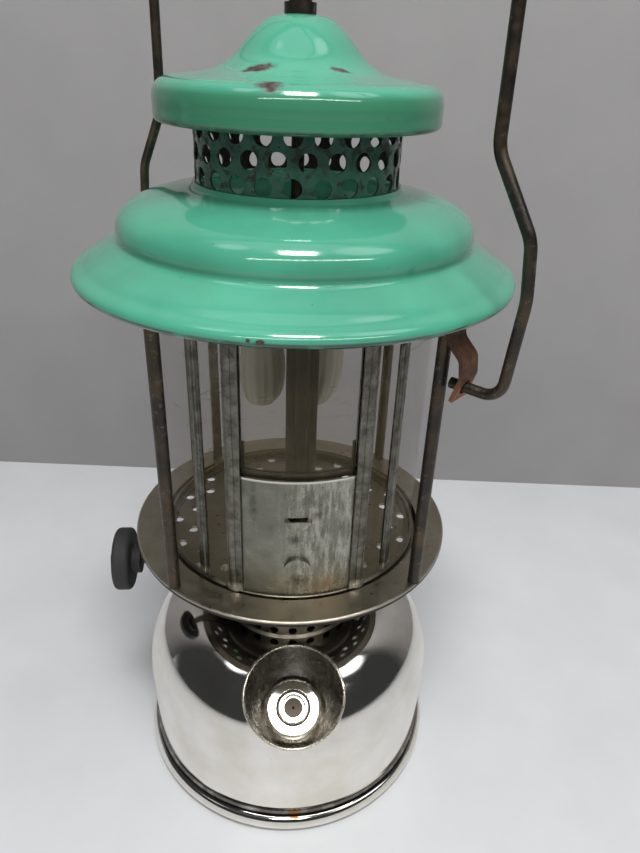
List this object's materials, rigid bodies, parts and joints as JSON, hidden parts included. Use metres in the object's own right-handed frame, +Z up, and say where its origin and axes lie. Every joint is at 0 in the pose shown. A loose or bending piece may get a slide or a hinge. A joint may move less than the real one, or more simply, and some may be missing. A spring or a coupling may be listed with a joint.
{
  "type": "pressure lantern",
  "caption": "Mantle pressure lantern: nickel fount with shoulder pump, mica globe with sliding door, green enamel ventilator, wire bail.",
  "frame": {"origin": "centre of the foot ring, on the surface that the lantern stands on", "axes": "+Z up the lantern's axis; -Y is the front, with the pump and the globe door; the valve wheel is on -X"},
  "size_m": [0.1717, 0.1686, 0.422],
  "materials": {
    "green_enamel": "vitreous green enamel, glossy",
    "nickel": "polished nickel plate",
    "plate_steel": "dulled nickel-plated steel sheet",
    "tin_plate": "mottled tin plate",
    "dark_steel": "heat-browned steel",
    "rusty_steel": "rusty brown steel",
    "brass": "plain turned brass",
    "sooty_iron": "sooty cast iron",
    "mica": "clear brownish mica sheet",
    "mantle_cloth": "thin rayon mantle mesh",
    "black_fibre": "black pressed fibre",
    "leather": "oiled leather",
    "rubber": "black fuel rubber"
  },
  "bodies": {
    "root": {"fount_shell": "nickel", "fount_bottom": "nickel", "filler_neck": "nickel", "filler_gasket": "rubber", "pump_cup": "nickel", "pump_barrel": "brass", "check_valve": "brass", "pump_cap": "nickel", "collar": "plate_steel", "base_plate": "plate_steel", "frame_rods": "dark_steel", "frame_top_ring": "dark_steel", "top_bridge": "dark_steel", "bail_ears": "rusty_steel", "globe_bottom_ring": "plate_steel", "globe_top_ring": "plate_steel", "mica_globe": "mica", "door_frame": "dark_steel", "globe_strips": "plate_steel", "door_guides": "plate_steel", "valve_body": "brass", "fuel_tube": "brass", "packing_nut": "brass", "mixing_tube": "sooty_iron", "generator": "sooty_iron", "jam_nut": "brass", "air_tube": "sooty_iron", "well_cover": "plate_steel", "burner_head": "sooty_iron", "burner_caps": "sooty_iron", "mantle_left": "mantle_cloth", "mantle_right": "mantle_cloth", "shade": "green_enamel", "perforated_band": "green_enamel", "cap": "green_enamel", "cap_spider": "dark_steel", "stud": "dark_steel", "finial_washer": "dark_steel"},
    "bail_handle": {"bail": "dark_steel"},
    "pump_plunger": {"pump_knob": "nickel", "pump_rod": "brass", "pump_leather": "leather", "leather_nut": "brass"},
    "valve_spindle": {"valve_stem": "dark_steel", "valve_wheel": "black_fibre", "wheel_nut": "dark_steel"},
    "door_panel": {"globe_door": "tin_plate"},
    "filler_lid": {"filler_cap": "nickel"},
    "top_nut": {"finial_nut": "dark_steel"}
  },
  "joints": [
    {"name": "bail_swing", "type": "hinge", "parent": "root", "child": "bail_handle", "pos_m": [0, 0, 0.2275], "axis": [0.7071, -0.7071, 0], "range_deg": [-120, 120]},
    {"name": "pump_stroke", "type": "slide", "parent": "root", "child": "pump_plunger", "axis": [0, -0.4695, 0.8829], "range_m": [0, 0.03]},
    {"name": "valve_turn", "type": "hinge", "parent": "root", "child": "valve_spindle", "pos_m": [-0.04, 0, 0.1075], "axis": [-1, 0, 0], "range_deg": [0, 360]},
    {"name": "door_slide", "type": "slide", "parent": "root", "child": "door_panel", "axis": [0, 0, 1], "range_m": [0, 0.045]},
    {"name": "filler_turn", "type": "hinge", "parent": "root", "child": "filler_lid", "pos_m": [0, 0.053, 0.09], "axis": [0, 0, 1], "continuous": true},
    {"name": "finial_turn", "type": "hinge", "parent": "root", "child": "top_nut", "pos_m": [0, 0, 0.345], "axis": [0, 0, 1], "continuous": true}
  ]
}
